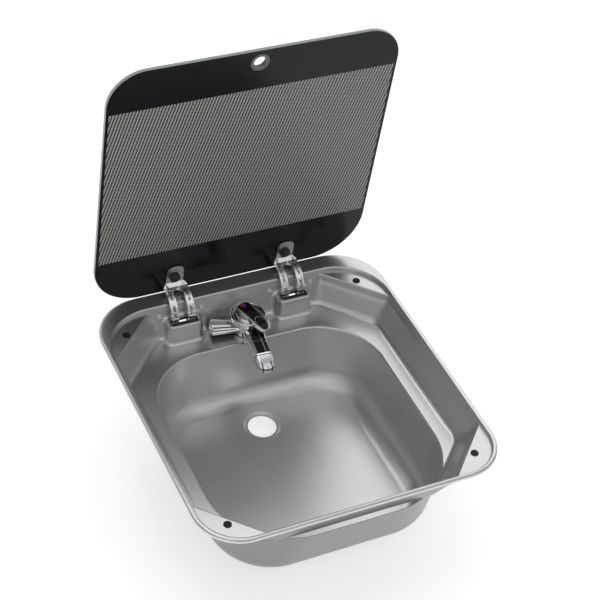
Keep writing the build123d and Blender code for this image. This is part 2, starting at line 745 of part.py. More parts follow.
def make_bolt(x):
    """Bolt through the glass with a broad cover head on the lid's upper face."""
    with BuildPart() as bolt:
        with BuildSketch(lid_flat(x, -COVER_HEIGHT)):
            with Locations((0, bolt_y)):
                Circle(COVER_RADIUS)
        extrude(amount=-COVER_HEIGHT)
        rim = bolt.edges().filter_by(GeomType.CIRCLE).sort_by(Axis.Y)[-1]
        fillet(rim, COVER_HEIGHT * 0.4)
        with BuildSketch(lid_flat(x, -COVER_HEIGHT / 2)):
            with Locations((0, bolt_y)):
                Circle(BOLT_RADIUS)
        extrude(amount=-(COVER_HEIGHT / 2 + tab_foot + BOLT_IN_CAP))
    return bolt.part


def make_cap(x):
    """Round cap over the bolt's end on the strap's tab."""
    with BuildPart() as cap:
        with BuildSketch(lid_flat(x, tab_foot)):
            with Locations((0, bolt_y)):
                Circle(CAP_RADIUS)
        extrude(amount=-CAP_HEIGHT)
        rim = cap.edges().filter_by(GeomType.CIRCLE).sort_by(Axis.Y)[0]
        fillet(rim, CAP_ROUND)
        with BuildSketch(lid_flat(x, tab_foot)):
            with Locations((0, bolt_y)):
                Circle(BOLT_RADIUS)
        extrude(amount=-BOLT_IN_CAP, mode=Mode.SUBTRACT)
    return cap.part


# --- slotted inserts on the bosses -------------------------------------------------------------
def make_insert(x):
    """Cap of a boss with a wide slot for the arms of the strap."""
    middle = (INSERT_FRONT + INSERT_BACK) / 2
    length = INSERT_BACK - INSERT_FRONT
    with BuildPart() as insert:
        with BuildSketch(at(BOSS_TOP - INSERT_LIP)):
            with Locations((x, middle)):
                RectangleRounded(2 * INSERT_HALF_WIDTH, length, INSERT_CORNER)
        extrude(amount=-INSERT_LIP)
        fillet(insert.faces().sort_by(Axis.Z)[-1].edges(), INSERT_LIP / 2)
        with BuildSketch(at(BOSS_TOP)):
            with Locations((x, middle)):
                RectangleRounded(
                    2 * (INSERT_HALF_WIDTH - INSERT_NECK),
                    length - 2 * INSERT_NECK,
                    INSERT_CORNER - INSERT_NECK,
                )
        extrude(amount=-INSERT_DROP)
        with BuildSketch(at(BOSS_TOP - INSERT_LIP)):
            with Locations((x, (SLOT_FRONT + SLOT_BACK) / 2)):
                Rectangle(2 * (ARM_OUTER + SLOT_SIDE_GAP), SLOT_BACK - SLOT_FRONT)
        extrude(amount=-INSERT_LIP - INSERT_DROP, mode=Mode.SUBTRACT)
    return insert.part


# --- brackets, pins, washers, screws and nuts --------------------------------------------------
def across(x):
    """Upright plane across the sink with its origin on the pivot axis."""
    return Plane(origin=(x, PIVOT_Y, level(PIVOT_DEPTH)), x_dir=(0, 1, 0), z_dir=(1, 0, 0))


def make_bracket(x):
    """Plate on the outside of the back wall with two cheeks that carry the pin."""
    corners = [
        wall_plane(x, wall_gauge + BRACKET_PLATE / 2).from_local_coords((0, v, 0))
        for v in (-BRACKET_HALF_HEIGHT, BRACKET_HALF_HEIGHT)
    ]
    with BuildPart() as bracket:
        with BuildSketch(wall_plane(x, wall_gauge)):
            RectangleRounded(2 * BRACKET_HALF_WIDTH, 2 * BRACKET_HALF_HEIGHT, BRACKET_CORNER)
        extrude(amount=BRACKET_PLATE)
        for hand in (-1, 1):
            cheek = across(x + hand * CHEEK_OFFSET)
            with BuildSketch(cheek):
                Circle(CHEEK_RADIUS)
                for corner in corners:
                    with Locations((corner.Y - PIVOT_Y, corner.Z - level(PIVOT_DEPTH))):
                        Circle(0.01)
                make_hull()
            extrude(amount=hand * CHEEK_THICKNESS)
            with BuildSketch(cheek):
                Circle(PIN_RADIUS + PIN_FIT)
            extrude(amount=hand * CHEEK_THICKNESS, mode=Mode.SUBTRACT)
        with BuildSketch(wall_plane(x, wall_gauge)):
            with Locations((-SCREW_OFFSET, 0), (SCREW_OFFSET, 0)):
                Circle(SCREW_RADIUS + SCREW_FIT)
        extrude(amount=BRACKET_PLATE, mode=Mode.SUBTRACT)
    return bracket.part


def make_pin(x):
    """Pivot pin with a head at each end."""
    reach = CHEEK_OFFSET + CHEEK_THICKNESS
    with BuildPart() as pin:
        with BuildSketch(across(x)):
            Circle(PIN_RADIUS)
        extrude(amount=reach + PIN_HEAD / 2, both=True)
        for hand in (-1, 1):
            with BuildSketch(across(x + hand * reach)):
                Circle(PIN_HEAD_RADIUS)
            extrude(amount=hand * PIN_HEAD)
    return pin.part


def make_washers(x):
    """Two friction washers between the strap's hubs and the bracket's cheeks."""
    thickness = CHEEK_OFFSET - ARM_OUTER - WASHER_GAP
    with BuildPart() as washers:
        for hand in (-1, 1):
            with BuildSketch(across(x + hand * CHEEK_OFFSET)):
                Circle(WASHER_RADIUS)
                Circle(PIN_RADIUS + PIN_FIT, mode=Mode.SUBTRACT)
            extrude(amount=-hand * thickness)
    return washers.part


with BuildPart() as hinge_screws:
    for x in screw_places:
        with BuildSketch(wall_plane(x)):
            Circle(SCREW_HEAD_RADIUS)
        extrude(amount=-SCREW_HEAD)
    brims = hinge_screws.edges().filter_by(GeomType.CIRCLE).group_by(Axis.Y)[0]
    fillet(brims, SCREW_HEAD_ROUND)
    for x in screw_places:
        with BuildSketch(wall_plane(x, -SCREW_HEAD / 2)):
            Circle(SCREW_RADIUS)
        extrude(amount=SCREW_LENGTH)
        with BuildSketch(wall_plane(x, -SCREW_HEAD)):
            RegularPolygon(SCREW_SOCKET, 6)
        extrude(amount=SCREW_SOCKET_DEPTH, mode=Mode.SUBTRACT)

with BuildPart() as hinge_nuts:
    for x in screw_places:
        with BuildSketch(wall_plane(x, wall_gauge + BRACKET_PLATE)):
            RegularPolygon(NUT_FLATS / 2, 6, major_radius=False)
            Circle(SCREW_RADIUS, mode=Mode.SUBTRACT)
        extrude(amount=NUT_HEIGHT)


# --- tap ---------------------------------------------------------------------------------------
def tap_at(depth):
    """Horizontal plane at a depth with its origin on the tap's axis."""
    return Plane(origin=(TAP_X, TAP_Y, level(depth)), z_dir=(0, 0, 1))


def tap_side(heading, shift=0.0):
    """Upright plane through the tap's axis: local x leads outward along a heading, local y up."""
    turn = math.radians(heading)
    outward = (math.cos(turn), math.sin(turn), 0)
    side = (math.sin(turn), -math.cos(turn), 0)
    return Plane(origin=(TAP_X, TAP_Y, level(0)), x_dir=outward, z_dir=side).offset(shift)


def spout_flat(depth):
    """Horizontal plane at a depth on the tap's axis, with local x leading along the spout."""
    turn = math.radians(SPOUT_HEADING)
    origin = (TAP_X, TAP_Y, level(depth))
    return Plane(origin=origin, x_dir=(math.cos(turn), math.sin(turn), 0), z_dir=(0, 0, 1))


def disc(radius, top, foot, mode=Mode.ADD):
    """Round block on the tap's axis between two depths."""
    with BuildSketch(tap_at(top)) as outline:
        Circle(radius)
    extrude(outline.sketch, amount=top - foot, mode=mode)


with BuildPart() as tap_gasket:
    disc(GASKET_RADIUS, LEDGE_DEPTH - GASKET_HEIGHT, LEDGE_DEPTH)
    disc(SHANK_RADIUS + SHANK_FIT, LEDGE_DEPTH - GASKET_HEIGHT, LEDGE_DEPTH, Mode.SUBTRACT)

barrel_top = SPOUT_RING_FOOT + SPOUT_AIR
foot_top = LEDGE_DEPTH - GASKET_HEIGHT - FOOT_HEIGHT

with BuildPart() as tap_body:
    turn = math.radians(HORN_HEADING)
    horn_out = (math.cos(turn), math.sin(turn), 0)
    for reach, depth, radius in (
        (HORN_ROOT, HORN_ROOT_DEPTH, HORN_ROOT_RADIUS),
        (HORN_REACH, HORN_END_DEPTH, HORN_END_RADIUS),
    ):
        centre = (TAP_X + reach * horn_out[0], TAP_Y + reach * horn_out[1], level(depth))
        with BuildSketch(Plane(origin=centre, x_dir=(0, 0, 1), z_dir=horn_out)):
            RegularPolygon(radius, HORN_SIDES)
    loft(ruled=True)
    disc(SPOUT_RING_RADIUS + HORN_AIR, 0, barrel_top, Mode.SUBTRACT)
    disc(FOOT_RADIUS, foot_top, LEDGE_DEPTH - GASKET_HEIGHT)
    disc(BARREL_RADIUS, barrel_top, foot_top)
    disc(NECK_RADIUS, HEAD_TOP + HEAD_LAP, barrel_top)
    disc(SHANK_RADIUS, LEDGE_DEPTH - GASKET_HEIGHT, SHANK_END)
    for depth in GROOVE_DEPTHS:
        with BuildSketch(tap_at(depth)):
            Circle(NECK_RADIUS)
            Circle(GROOVE_RADIUS, mode=Mode.SUBTRACT)
        extrude(amount=-GROOVE_HEIGHT, mode=Mode.SUBTRACT)
    disc(CARTRIDGE_RADIUS + CARTRIDGE_FIT, HEAD_TOP, CARTRIDGE_FOOT, Mode.SUBTRACT)
    disc(SHANK_BORE, CARTRIDGE_FOOT, SHANK_END, Mode.SUBTRACT)

horn_end = (TAP_X + HORN_REACH * horn_out[0], TAP_Y + HORN_REACH * horn_out[1], level(HORN_END_DEPTH))

with BuildPart() as horn_cap:
    with BuildSketch(Plane(origin=horn_end, x_dir=(0, 0, 1), z_dir=horn_out)):
        Circle(HORN_CAP_RADIUS)
    extrude(amount=HORN_CAP_HEIGHT)
    fillet(horn_cap.edges().sort_by(Axis.X)[0], HORN_CAP_HEIGHT / 2)

ring_foot = HEAD_FOOT - HEAD_FLANGE

with BuildPart() as tap_head:
    disc(HEAD_RADIUS, HEAD_TOP, HEAD_FOOT)
    disc(HEAD_FLANGE_RADIUS, ring_foot, HEAD_FOOT)
    disc(NECK_RADIUS, HEAD_TOP + HEAD_LAP, HEAD_FOOT, Mode.SUBTRACT)
    disc(CARTRIDGE_RADIUS + CARTRIDGE_FIT, HEAD_TOP, HEAD_FOOT, Mode.SUBTRACT)

with BuildPart() as collar_ring:
    with BuildSketch(tap_side(SPOUT_HEADING)) as section:
        with Locations(((RING_INNER + RING_OUTER) / 2, -(RING_TOP + ring_foot) / 2)):
            Rectangle(RING_OUTER - RING_INNER, ring_foot - RING_TOP)
        fillet(section.vertices().group_by(Axis.Y)[-1], RING_ROUND)
    revolve(axis=Axis((TAP_X, TAP_Y, 0), (0, 0, 1)))

with BuildPart() as cartridge:
    disc(CARTRIDGE_RADIUS, CARTRIDGE_TOP, CARTRIDGE_FOOT)
    disc(CARTRIDGE_CUP, CARTRIDGE_TOP, CARTRIDGE_CUP_FOOT, Mode.SUBTRACT)

with BuildPart() as spout:
    with BuildSketch(tap_side(SPOUT_HEADING)):
        with BuildLine():
            crown = Spline(*[(reach, -depth) for reach, depth in SPOUT_CROWN])
            Polyline(crown @ 1, *[(reach, -depth) for reach, depth in SPOUT_BELOW], crown @ 0)
        make_face()
    extrude(amount=SPOUT_REACH / 2, both=True)
    with BuildSketch(spout_flat(OUTLET_DEPTH + 1)):
        with BuildLine():
            left = Spline(*SPOUT_HALF_WIDTHS, tangents=((1, 0.4), (1, 0)))
            right = Spline(
                *[(reach, -half) for reach, half in SPOUT_HALF_WIDTHS], tangents=((1, -0.4), (1, 0))
            )
            ThreePointArc(left @ 1, (SPOUT_REACH + OUTLET_RADIUS, 0), right @ 1)
            Line(left @ 0, right @ 0)
        make_face()
    extrude(amount=OUTLET_DEPTH, mode=Mode.INTERSECT)
    crest = spout.faces().filter_by(
        lambda f: f.geom_type != GeomType.PLANE and f.normal_at().Z > 0.8
    )
    brow = crest.sort_by(Axis.Z)[-1].edges().filter_by(lambda e: abs(e.tangent_at(0.5).Z) < 0.5)
    fillet(brow, SPOUT_TOP_ROUND)
    disc(SPOUT_RING_RADIUS, SPOUT_TOP, SPOUT_RING_FOOT)
    disc(NECK_RADIUS + SPOUT_FIT, SPOUT_TOP, SPOUT_RING_FOOT, Mode.SUBTRACT)
    with BuildSketch(tap_at(OUTLET_DEPTH)):
        with PolarLocations(SPOUT_REACH, 1, SPOUT_HEADING):
            Circle(OUTLET_BORE)
    extrude(amount=OUTLET_BORE_HEIGHT, mode=Mode.SUBTRACT)

with BuildPart() as spout_rings:
    for depth in GROOVE_DEPTHS:
        with BuildSketch(tap_at(depth)):
            Circle(NECK_RADIUS + SPOUT_FIT / 2)
            Circle(GROOVE_RADIUS, mode=Mode.SUBTRACT)
        extrude(amount=-GROOVE_HEIGHT)

with BuildPart() as aerator:
    with BuildSketch(tap_at(OUTLET_DEPTH)):
        with PolarLocations(SPOUT_REACH, 1, SPOUT_HEADING):
            Circle(OUTLET_BORE - AERATOR_FIT)
    extrude(amount=OUTLET_BORE_HEIGHT)
    with BuildSketch(tap_at(OUTLET_DEPTH)):
        with PolarLocations(SPOUT_REACH, 1, SPOUT_HEADING):
            for radius, count in AERATOR_RINGS:
                with PolarLocations(radius, count):
                    Circle(AERATOR_HOLE)
    extrude(amount=OUTLET_BORE_HEIGHT, mode=Mode.SUBTRACT)

with BuildPart() as thumb_pad:
    Sphere(1)
    scale(by=(PAD_LENGTH, PAD_HALF_WIDTH, PAD_RISE))

lever_side = tap_side(LEVER_HEADING)

with BuildPart() as ball_shell:
    shoulder = math.sqrt(BALL_RADIUS**2 - (LEVER_PIVOT - BALL_TOP) ** 2)
    brim = math.sqrt(BALL_RADIUS**2 - (LEVER_PIVOT - BALL_FOOT) ** 2)
    middle = math.sqrt(BALL_RADIUS**2 - (LEVER_PIVOT - (BALL_TOP + BALL_FOOT) / 2) ** 2)
    with BuildSketch(lever_side):
        with BuildLine():
            Spline((0, -BALL_CROWN), (shoulder, -BALL_TOP), tangents=((1, 0), (1, -BALL_DROOP)))
            ThreePointArc(
                (shoulder, -BALL_TOP), (middle, -(BALL_TOP + BALL_FOOT) / 2), (brim, -BALL_FOOT)
            )
            Polyline(
                (brim, -BALL_FOOT), (brim - BALL_SHELL, -BALL_FOOT),
                (shoulder - BALL_SHELL, -BALL_TOP - BALL_SHELL),
                (0, -BALL_TOP - BALL_SHELL), (0, -BALL_CROWN),
            )
        make_face()
    revolve(axis=Axis((TAP_X, TAP_Y, 0), (0, 0, 1)))



def lever_flat(reach, depth):
    """Horizontal plane on the lever's middle line, with local x leading along the lever."""
    origin = lever_side.from_local_coords((reach, -depth, 0))
    return Plane(origin=origin, x_dir=lever_side.x_dir)


mark_plane = lever_flat(MARK_OFFSET, MARK_DEPTH)

with BuildPart() as lever:
    with BuildSketch(lever_side):
        with BuildLine():
            crown = Spline(*[(reach, -depth) for reach, depth in LEVER_CROWN])
            Polyline(crown @ 1, *[(reach, -depth) for reach, depth in LEVER_BELOW], crown @ 0)
        make_face()
    extrude(amount=LEVER_WIDTH, both=True)
    with BuildSketch(lever_flat(0, LEVER_PIVOT)) as plan:
        with Locations(((LEVER_TIP + LEVER_BACK) / 2, 0)):
            Rectangle(LEVER_TIP - LEVER_BACK, LEVER_WIDTH)
        fillet(plan.vertices(), LEVER_CORNER)
    extrude(amount=LEVER_PIVOT, mode=Mode.INTERSECT)
    crest = lever.faces().sort_by(Axis.Z)[-1]
    fillet(crest.edges(), LEVER_EDGE_ROUND)
    add(thumb_pad.part.moved(Location(lever_flat(PAD_CENTRE, PAD_TOP + PAD_RISE))))
    with BuildSketch(lever_side):
        tip_line = [(reach, -depth) for reach, depth in LEVER_BELOW[:3]]
        Polygon(*tip_line, (0, tip_line[-1][1]), (0, -LEVER_PIVOT), (LEVER_TIP, -LEVER_PIVOT), align=None)
    extrude(amount=LEVER_WIDTH, both=True, mode=Mode.SUBTRACT)
    add(ball_shell.part)
    with BuildSketch(tap_at(LEVER_PIVOT)):
        Circle(STEM_RADIUS)
    extrude(amount=LEVER_PIVOT - BALL_TOP - BALL_SHELL / 2)
    with Locations((TAP_X, TAP_Y, level(LEVER_PIVOT))):
        Sphere(STEM_BALL)
    with BuildSketch(mark_plane):
        Circle(MARK_RADIUS + MARK_FIT)
    extrude(amount=-MARK_SINK, mode=Mode.SUBTRACT)


def make_mark(hand):
    """Half disc let into the lever's back end."""
    with BuildPart() as mark:
        with BuildSketch(mark_plane):
            Circle(MARK_RADIUS)
            with Locations((0, -hand * MARK_RADIUS)):
                Rectangle(2 * MARK_RADIUS, 2 * MARK_RADIUS, mode=Mode.SUBTRACT)
        extrude(amount=-MARK_SINK)
    return mark.part


# --- tap parts below the ledge ------------------------------------------------------------------
washer_top = LEDGE_DEPTH + SHEET
nut_top = washer_top + SHANK_WASHER_HEIGHT

with BuildPart() as shank_washer:
    disc(SHANK_WASHER_RADIUS, washer_top, nut_top)
    disc(SHANK_RADIUS + SHANK_FIT, washer_top, nut_top, Mode.SUBTRACT)

with BuildPart() as shank_nut:
    with BuildSketch(tap_at(nut_top)):
        RegularPolygon(SHANK_NUT_FLATS / 2, 6, major_radius=False)
        Circle(SHANK_RADIUS, mode=Mode.SUBTRACT)
    extrude(amount=-SHANK_NUT_HEIGHT)

with BuildPart() as inlet_tails:
    with BuildSketch(tap_at(CARTRIDGE_FOOT)):
        with Locations((-TAIL_SPREAD, 0), (TAIL_SPREAD, 0)):
            Circle(TAIL_RADIUS)
            Circle(TAIL_BORE, mode=Mode.SUBTRACT)
    extrude(amount=CARTRIDGE_FOOT - TAIL_END)

# --- labels and files --------------------------------------------------------------------------
pieces = {
    "sink_pressing": sink_pressing.part,
    "lid_bumpers": lid_bumpers.part,
    "rim_seal": rim_seal.part,
    "lid_glass": lid_glass.part,
    "finger_ring": finger_ring.part,
    "hinge_screws": hinge_screws.part,
    "hinge_nuts": hinge_nuts.part,
    "tap_gasket": tap_gasket.part,
    "tap_body": tap_body.part,
    "horn_cap": horn_cap.part,
    "tap_head": tap_head.part,
    "collar_ring": collar_ring.part,
    "cartridge": cartridge.part,
    "spout": spout.part,
    "spout_rings": spout_rings.part,
    "aerator": aerator.part,
    "lever": lever.part,
    "warm_mark": make_mark(-1),
    "cold_mark": make_mark(1),
    "shank_washer": shank_washer.part,
    "shank_nut": shank_nut.part,
    "inlet_tails": inlet_tails.part,
}
for name, side in SIDES.items():
    x = side * HINGE_X
    pieces["hinge_strap_" + name] = make_strap(x)
    pieces["strap_pad_" + name] = make_pad(x)
    pieces["strap_bolt_" + name] = make_bolt(x)
    pieces["strap_cap_" + name] = make_cap(x)
    pieces["slot_insert_" + name] = make_insert(x)
    pieces["hinge_bracket_" + name] = make_bracket(x)
    pieces["hinge_pin_" + name] = make_pin(x)
    pieces["friction_washers_" + name] = make_washers(x)

for name, piece in pieces.items():
    piece.label = name
    export_step(piece, f"parts/{name}.step")
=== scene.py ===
"""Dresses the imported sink: a finish for every piece, a pale floor, soft light and the camera."""

import json
import math

import bpy
from mathutils import Euler, Matrix, Vector

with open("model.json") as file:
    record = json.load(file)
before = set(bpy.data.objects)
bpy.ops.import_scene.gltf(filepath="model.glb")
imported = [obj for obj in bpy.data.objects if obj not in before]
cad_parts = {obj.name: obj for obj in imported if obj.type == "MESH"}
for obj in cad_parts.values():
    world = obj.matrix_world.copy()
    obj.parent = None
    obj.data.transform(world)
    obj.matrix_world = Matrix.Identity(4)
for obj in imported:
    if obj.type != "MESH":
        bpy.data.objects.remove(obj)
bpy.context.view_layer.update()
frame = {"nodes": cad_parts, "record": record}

# --- sizes repeated from the model, in millimetres -----------------------------------------------
RIM_TOP = 4.7

# Lid hinge.
PIVOT_Y = 206.5
PIVOT_Z = -15.04
OPEN_ANGLE = math.radians(85.8)
HINGE_X = 82.5
STRAP_ARM_OFFSET = 12.0
INSERT_TOP = -14.1
TAB_END = 170.0
TAB_LOW = 10.0

# Glass, as it lies when the lid is closed.
GLASS_HALF = 199.0
GLASS_BACK = 188.4
GLASS_FRONT = -211.6
GLASS_CORNER_HINGE = 70.0
GLASS_CORNER_FINGER = 51.0

# Tap.
TAP_X = 4.0
TAP_Y = 156.0
SPOUT_HEADING = math.radians(-93.6)
LEVER_HEADING = math.radians(-70.5)
ARM_HEADING = math.radians(170.0)

# --- painted reflections and painted shade on the tap, in millimetres from its axis along an arm, to its left, and below the rim --
# A pair named SOFT is where a mark ends and where it is full.
REFLECTION_STRIP_SOFT = (9.0, 8.2)
REFLECTION_STRIP_ENDS = (-13.0, 30.0)
PAD_CENTRE = 27.5
PAD_HALF_LENGTH = 10.5
PAD_HALF_WIDTH = 7.6
PAD_RING = 1.12

SPOUT_REFLECTION_SIDES = (-8.0, 11.0)
SPOUT_REFLECTION_ENDS = (18.0, 64.0)
HIGHLIGHT_STREAK_SIDE = 4.6
HIGHLIGHT_STREAK_SOFT = (0.9, 0.3)
REFLECTION_BREAK_REACH = 45.0
REFLECTION_BREAK_SLANT = 0.25
REFLECTION_BREAK_HALF = 0.35
SPOUT_END = 66.0
END_LINE_DEPTH = 38.5
END_LINE_SOFT = (0.9, 0.5)
END_RING_REACH = 67.0
END_RING_SOFT = (0.8, 0.4)
FACET_MIDDLE = -0.5
FACET_OFFSET = 6.5
FACET_SOFT = (1.4, 0.3)
FACET_TOP = 33.0

# The side arm's painted reflection lines are at shares of its radius above its middle.
ARM_START = 17.5
ARM_RADIUS = 7.2
ARM_FLARE = 0.1
ARM_DEPTH = 38.2
ARM_RISE = 0.074
ARM_REFLECTION_LINES = ((0.28, (0.09, 0.05)), (0.62, (0.07, 0.04)))
ARM_UNDERSIDE_SHADE_SOFT = (-0.3, -0.45)

# --- print on the glass --------------------------------------------------------------------------
FIELD_EDGE = -4.6
FIELD_ENDS = (80.0, 338.5)
GROUND_EDGE = -0.55
GROUND_SOFT = (20.0, 70.0)
ROWS_PER_MM = (0.225, 0.058)
RANKS_PER_MM = (-0.041, 0.16)
RANK_SHARE = 0.12
DOT_SOFT = (-0.95, 0.45)

# --- colours -------------------------------------------------------------------------------------
CHROME_DULL = (0.86, 0.87, 0.89, 1)
CHROME_CLEAR = (0.93, 0.93, 0.94, 1)
# Black of the glass print, and of the painted reflections on the tap.
BLACK_PRINT_AND_PAINTED_REFLECTION = (0.008, 0.008, 0.010, 1)
STEEL_DULL = (0.66, 0.66, 0.655, 1)
STEEL_CLEAR = (0.72, 0.72, 0.715, 1)
# Painted shade on steel that faces down.
STEEL_DOWNWARD_SHADE = (0.30, 0.305, 0.31, 1)
TAB_GREY = (0.44, 0.45, 0.47, 1)
DOT_GREY = (0.36, 0.37, 0.345, 1)
# Painted shade on the ground edge near the hinge end.
GROUND_PAINTED_SHADE = (0.03, 0.03, 0.03, 1)
GROUND_LIGHT = (0.42, 0.45, 0.44, 1)
LAMP_WHITE = (0.97, 0.98, 1.0, 1)


class Wire:
    """One shader value. Sums written with it add their Math nodes to the material."""

    def __init__(self, nodes, socket):
        self.nodes = nodes
        self.socket = socket

    def sum_with(self, operation, *values):
        inputs = dict(enumerate(values))
        return self.nodes.node("ShaderNodeMath", 0, {"operation": operation}, inputs)

    def __add__(self, other):
        return self.sum_with("ADD", self, other)

    def __radd__(self, other):
        return self.sum_with("ADD", other, self)

    def __sub__(self, other):
        return self.sum_with("SUBTRACT", self, other)

    def __rsub__(self, other):
        return self.sum_with("SUBTRACT", other, self)

    def __mul__(self, other):
        return self.sum_with("MULTIPLY", self, other)

    def __rmul__(self, other):
        return self.sum_with("MULTIPLY", other, self)

    def __truediv__(self, other):
        return self.sum_with("DIVIDE", self, other)

    def __pow__(self, other):
        return self.sum_with("POWER", self, other)

    def __gt__(self, other):
        return self.sum_with("GREATER_THAN", self, other)

    def __lt__(self, other):
        return self.sum_with("LESS_THAN", self, other)

    def __abs__(self):
        return self.sum_with("ABSOLUTE", self)

    def __neg__(self):
        return self.sum_with("MULTIPLY", self, -1.0)

    def root(self):
        return self.sum_with("SQRT", self)

    def cosine(self):
        return self.sum_with("COSINE", self)

    def at_least(self, other):
        return self.sum_with("MAXIMUM", self, other)

    def between(self, low, high):
        return (self > low) * (self < high)

    def fade(self, start, full):
        """0 at start and before it, 1 at full and past it, and smooth between them."""
        inputs = {"Value": self, "From Min": start, "From Max": full}
        settings = {"interpolation_type": "SMOOTHSTEP"}
        return self.nodes.node("ShaderNodeMapRange", "Result", settings, inputs)


class Nodes:
    """A node tree with a short way to add nodes to it."""

    def __init__(self, tree):
        self.tree = tree

    def node(self, kind, output, settings, inputs):
        made = self.tree.nodes.new(kind)
        for key, value in settings.items():
            setattr(made, key, value)
        for key, value in inputs.items():
            self.feed(made.inputs[key], value)
        return Wire(self, made.outputs[output])

    def feed(self, socket, value):
        if isinstance(value, Wire):
            self.tree.links.new(value.socket, socket)
        else:
            socket.default_value = value


class Finish(Nodes):
    """A material with its shader."""

    def __init__(self, name, **constants):
        self.material = bpy.data.materials.new(name)
        self.material.use_nodes = True
        super().__init__(self.material.node_tree)
        self.tree.nodes.clear()
        self.shader = self.tree.nodes.new("ShaderNodeBsdfPrincipled")
        output = self.tree.nodes.new("ShaderNodeOutputMaterial")
        self.tree.links.new(self.shader.outputs[0], output.inputs["Surface"])
        for socket, value in constants.items():
            self.shader.inputs[socket.replace("_", " ")].default_value = value

    def set(self, socket, value):
        self.feed(self.shader.inputs[socket], value)

    def place(self):
        return self.node("ShaderNodeTexCoord", "Object", {}, {})

    def facing(self):
        return self.node("ShaderNodeTexCoord", "Normal", {}, {})

    def moved(self, turn, shift):
        """Object coordinates in millimetres, turned and then shifted."""
        inputs = {
            "Vector": self.place(),
            "Scale": (1000, 1000, 1000),
            "Rotation": turn,
            "Location": shift,
        }
        return self.node("ShaderNodeMapping", "Vector", {"vector_type": "POINT"}, inputs)

    def split(self, vector):
        return [self.node("ShaderNodeSeparateXYZ", axis, {}, {"Vector": vector}) for axis in "XYZ"]

    def noise(self, scale, detail=2.0):
        inputs = {"Vector": self.place(), "Scale": scale, "Detail": detail}
        return self.node("ShaderNodeTexNoise", "Fac", {}, inputs)

    def mix(self, factor, first, second):
        """Colour between two colours. A Mix node's colours are its inputs 6 and 7."""
        settings = {"data_type": "RGBA"}
        inputs = {0: factor, 6: first, 7: second}
        return self.node("ShaderNodeMix", 2, settings, inputs)

    def bump(self, height, strength, distance):
        inputs = {"Height": height, "Strength": strength, "Distance": distance}
        self.set("Normal", self.node("ShaderNodeBump", "Normal", {}, inputs))


def grey(value):
    return (value, value, value, 1.0)


# --- finishes ------------------------------------------------------------------------------------
NO_MOVE = (0, 0, 0)
LID_TURN = (OPEN_ANGLE, 0, 0)
LID_SHIFT = -(Euler(LID_TURN).to_matrix() @ Vector((0, PIVOT_Y, PIVOT_Z)))


def round_tap(heading):
    """Turn and shift that lead x along a heading from the tap's axis and y to its left."""
    axis = Vector((TAP_X, TAP_Y, 0))
    return (0, 0, -heading), -(Matrix.Rotation(-heading, 3, "Z") @ axis)


def satin_steel():
    """Pressed stainless sheet: soft grain, slightly wavy, darker where it faces down as painted
    shade.
    """
    steel = Finish("satin_steel", Metallic=0.88)
    broad = steel.noise(7.0, 3.0)
    fine = steel.noise(900.0)
    inside = steel.mix(broad.fade(0.3, 0.7), STEEL_DULL, STEEL_CLEAR)
    # Darker base colour where the sheet faces down: painted shade.
    facing_down_shade = (-steel.split(steel.facing())[2]).fade(0.01, 0.05)
    steel.set("Base Color", steel.mix(facing_down_shade, inside, STEEL_DOWNWARD_SHADE))
    steel.set("Roughness", 0.27 + 0.05 * broad + 0.04 * fine)
    steel.bump(fine, 0.02, 0.0005)
    return steel.material


def plated_chrome(name):
    """Bright chrome with a faint cloud, and its colour, for painted reflections to be laid over."""
    chrome = Finish(name, Metallic=1.0)
    cloud = chrome.noise(60.0)
    bright = chrome.mix(cloud, CHROME_DULL, CHROME_CLEAR)
    chrome.set("Base Color", bright)
    chrome.set("Roughness", 0.03 + 0.03 * cloud)
    return chrome, bright


def chrome_with_painted_dark(name, heading, mask):
    """Chrome painted glossy black where mask says, along one arm of the tap, as painted reflection
    and painted shade.
    """
    chrome, bright = plated_chrome(name)
    reach, side, height = chrome.split(chrome.moved(*round_tap(heading)))
    # Glossy black where the mask says: painted reflection and painted shade.
    painted_dark = mask(reach, side, RIM_TOP - height)
    chrome.set("Base Color", chrome.mix(painted_dark, bright, BLACK_PRINT_AND_PAINTED_REFLECTION))
    chrome.set("Metallic", 1.0 - painted_dark)
    return chrome.material


def lever_painted_reflection(reach, side, depth):
    """Painted dark reflection on the lever's long top and on the oval of its thumb pad, with a
    chrome ring between them.
    """
    oval = (((reach - PAD_CENTRE) / PAD_HALF_LENGTH) ** 2 + (side / PAD_HALF_WIDTH) ** 2).root()
    # Black strip along the lever's top: painted dark reflection.
    reflection_strip = abs(side).fade(*REFLECTION_STRIP_SOFT) * reach.between(*REFLECTION_STRIP_ENDS)
    return (reflection_strip * (oval > PAD_RING)).at_least(oval < 1.0)


def spout_painted_reflection(reach, side, depth):
    """Painted dark reflection on the spout's top in two pieces, a painted highlight streak left in
    chrome, and painted reflection lines on its end.
    """
    # Black panel on the spout's top: painted dark reflection, broken by a painted highlight streak
    # and a thin gap.
    reflection_panel = side.between(*SPOUT_REFLECTION_SIDES) * reach.between(*SPOUT_REFLECTION_ENDS)
    highlight_streak = 1.0 - abs(side - HIGHLIGHT_STREAK_SIDE).fade(*HIGHLIGHT_STREAK_SOFT)
    reflection_break = abs(reach - REFLECTION_BREAK_REACH - REFLECTION_BREAK_SLANT * side) > REFLECTION_BREAK_HALF
    line = abs(depth - END_LINE_DEPTH).fade(*END_LINE_SOFT)
    ring = abs(reach - END_RING_REACH).fade(*END_RING_SOFT)
    facets = abs(abs(side - FACET_MIDDLE) - FACET_OFFSET).fade(*FACET_SOFT) * (depth > FACET_TOP)
    # Dark lines on the spout's end: painted reflections.
    end_reflections = (reach > SPOUT_END) * line.at_least(ring).at_least(facets)
    return (reflection_panel * highlight_streak * reflection_break).at_least(end_reflections)


